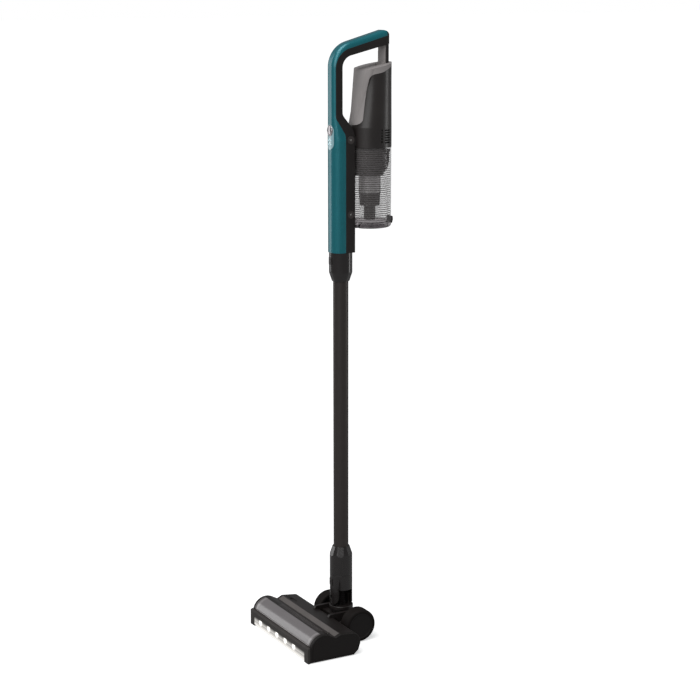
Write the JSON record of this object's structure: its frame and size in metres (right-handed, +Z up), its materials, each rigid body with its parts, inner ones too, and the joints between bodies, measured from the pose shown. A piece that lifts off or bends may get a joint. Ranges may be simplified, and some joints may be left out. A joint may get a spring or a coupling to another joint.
{
  "type": "cordless stick vacuum",
  "caption": "Upright cordless stick vacuum: motorised floor head with lights, tilting neck, pull-apart wand, loop handle, motor and battery canister, drop-off dust cup with hinged lid.",
  "frame": {"origin": "on the floor at the middle of the footprint, halfway across the floor head and halfway between the bumper's front face and the lid latch's rear face", "axes": "+Z up; -Y is the front, the side of the lights; +X is to the right of somebody standing behind the vacuum"},
  "size_m": [0.24, 0.2388, 1.1231],
  "materials": {
    "black_shell": "satin moulded",
    "trim_grey": "satin moulded",
    "window_smoke": "polished smoked clear",
    "frame_grey": "satin moulded",
    "bumper_grey": "satin moulded",
    "led_clear": "clear, lit from behind",
    "board_green": "solder mask",
    "bearing_steel": "ground",
    "motor_steel": "plated",
    "belt_rubber": "moulded, toothed",
    "duct_grey": "moulded",
    "glide_felt": "felt",
    "screw_steel": "plated",
    "axle_steel": "ground",
    "plug_grey": "satin moulded",
    "core_plastic": "moulded",
    "pile_fabric": "soft woven pile",
    "bristle_nylon": "stiff filaments",
    "tyre_rubber": "soft moulded",
    "hose_black": "ribbed, flexible",
    "socket_black": "semi gloss",
    "anodised_black": "satin anodised",
    "ring_plastic": "moulded",
    "wire_insulation": "insulated copper",
    "teal_shell": "metallic satin paint over plastic",
    "strut_grey": "satin moulded",
    "lens_teal": "polished",
    "seal_rubber": "soft moulded",
    "dark_grey_shell": "satin moulded",
    "grey_shell": "fine satin grain",
    "motor_aluminium": "pressed",
    "filter_white": "pleated",
    "cell_wrap": "shrink wrapped cells",
    "silver_plastic": "metallised",
    "rotor_aluminium": "machined",
    "clear_cup": "polished clear",
    "shroud_grey": "satin moulded",
    "mesh_metal": "fine woven mesh",
    "foam_filter": "foam",
    "latch_black": "satin moulded"
  },
  "bodies": {
    "head": {"head_base": "black_shell", "head_top_cover": "black_shell", "trim_strip": "trim_grey", "brush_window": "window_smoke", "window_frame": "frame_grey", "end_cap_left": "black_shell", "end_cap_right": "black_shell", "front_bumper": "bumper_grey", "led_lens": "led_clear", "led_board": "board_green", "brush_bearings": "bearing_steel", "brush_motor": "motor_steel", "drive_belt": "belt_rubber", "air_duct": "duct_grey", "glide_pads": "glide_felt", "head_screws": "screw_steel", "carriage": "black_shell", "axle_pins": "axle_steel"},
    "brush": {"brush_core": "core_plastic", "brush_pile": "pile_fabric", "bristle_strips": "bristle_nylon", "brush_axle": "axle_steel"},
    "motor_pulley": {"motor_pulley": "axle_steel"},
    "slider": {"release_slider": "plug_grey"},
    "wheel_left": {"wheel_rim_left": "black_shell", "wheel_tyre_left": "tyre_rubber"},
    "wheel_right": {"wheel_rim_right": "black_shell", "wheel_tyre_right": "tyre_rubber"},
    "elbow": {"elbow": "black_shell", "flex_hose": "hose_black"},
    "neck": {"neck_socket": "socket_black"},
    "neck_button": {"neck_button": "plug_grey"},
    "wand": {"wand_tube": "anodised_black", "wand_end_rings": "ring_plastic", "wand_wiring": "wire_insulation"},
    "hand_unit": {"boom_socket": "socket_black", "front_shell": "teal_shell", "rear_shell": "black_shell", "strut_strip": "strut_grey", "display_lens": "lens_teal", "control_board": "board_green", "spine_plugs": "plug_grey", "suction_duct": "duct_grey", "inlet_gasket": "seal_rubber", "motor_housing": "dark_grey_shell", "housing_cover": "grey_shell", "motor_can": "motor_aluminium", "exhaust_filter": "filter_white", "battery_cells": "cell_wrap"},
    "boom_button": {"boom_button": "plug_grey"},
    "power_button": {"power_button": "silver_plastic"},
    "fan": {"fan_rotor": "rotor_aluminium"},
    "cup": {"dust_cup": "clear_cup", "shroud": "shroud_grey", "mesh_screen": "mesh_metal", "cyclone_cone": "shroud_grey", "inlet_block": "shroud_grey", "premotor_filter": "foam_filter"},
    "lid": {"cup_lid": "clear_cup"},
    "latch": {"lid_latch": "latch_black"}
  },
  "joints": [
    {"name": "brush_spin", "type": "hinge", "parent": "head", "child": "brush", "pos_m": [0, -0.0872, 0.0234], "axis": [1, 0, 0], "continuous": true},
    {"name": "motor_pulley_spin", "type": "hinge", "parent": "head", "child": "motor_pulley", "pos_m": [-0.106, -0.038, 0.021], "axis": [1, 0, 0], "continuous": true},
    {"name": "release_slider_slide", "type": "slide", "parent": "head", "child": "slider", "axis": [1, 0, 0], "range_m": [0, 0.018]},
    {"name": "wheel_left_spin", "type": "hinge", "parent": "head", "child": "wheel_left", "pos_m": [-0.0548, 0.0199, 0.0307], "axis": [1, 0, 0], "continuous": true},
    {"name": "wheel_right_spin", "type": "hinge", "parent": "head", "child": "wheel_right", "pos_m": [0.0548, 0.0199, 0.0307], "axis": [1, 0, 0], "continuous": true},
    {"name": "neck_pitch", "type": "hinge", "parent": "head", "child": "elbow", "pos_m": [0, 0.0199, 0.0307], "axis": [-1, 0, 0], "range_deg": [0, 80]},
    {"name": "neck_tilt", "type": "hinge", "parent": "elbow", "child": "neck", "pos_m": [0, 0.0137, 0.072], "axis": [0, 1, 0], "range_deg": [-30, 30]},
    {"name": "neck_button_press", "type": "slide", "parent": "neck", "child": "neck_button", "axis": [0, 1, 0], "range_m": [0, 0.0012], "stiffness_N_per_m": 500, "springref_m": -0.001},
    {"name": "wand_pull", "type": "slide", "parent": "neck", "child": "wand", "axis": [0, 0, 1], "range_m": [0, 0.08]},
    {"name": "hand_unit_pull", "type": "slide", "parent": "wand", "child": "hand_unit", "axis": [0, 0, 1], "range_m": [0, 0.05]},
    {"name": "boom_button_press", "type": "slide", "parent": "hand_unit", "child": "boom_button", "axis": [0, 1, 0], "range_m": [0, 0.0012], "stiffness_N_per_m": 500, "springref_m": -0.001},
    {"name": "power_button_press", "type": "slide", "parent": "hand_unit", "child": "power_button", "axis": [0, 1, 0], "range_m": [0, 0.0012], "stiffness_N_per_m": 800, "springref_m": -0.001},
    {"name": "cup_drop", "type": "slide", "parent": "hand_unit", "child": "cup", "axis": [0, 0, -1], "range_m": [0, 0.04]},
    {"name": "lid_open", "type": "hinge", "parent": "cup", "child": "lid", "pos_m": [0, 0.0398, 0.7745], "axis": [-1, 0, 0], "range_deg": [0, 85]},
    {"name": "lid_latch_press", "type": "hinge", "parent": "cup", "child": "latch", "pos_m": [0, 0.116, 0.7845], "axis": [1, 0, 0], "range_deg": [0, 12], "stiffness_Nm_per_rad": 0.05, "springref_deg": -5.73},
    {"name": "fan_spin", "type": "hinge", "parent": "hand_unit", "child": "fan", "pos_m": [0, 0.0738, 0.93], "axis": [0, 0, 1], "continuous": true}
  ],
  "couplings": [
    {"joint": "motor_pulley_spin", "follows": "brush_spin", "ratio": 2}
  ]
}
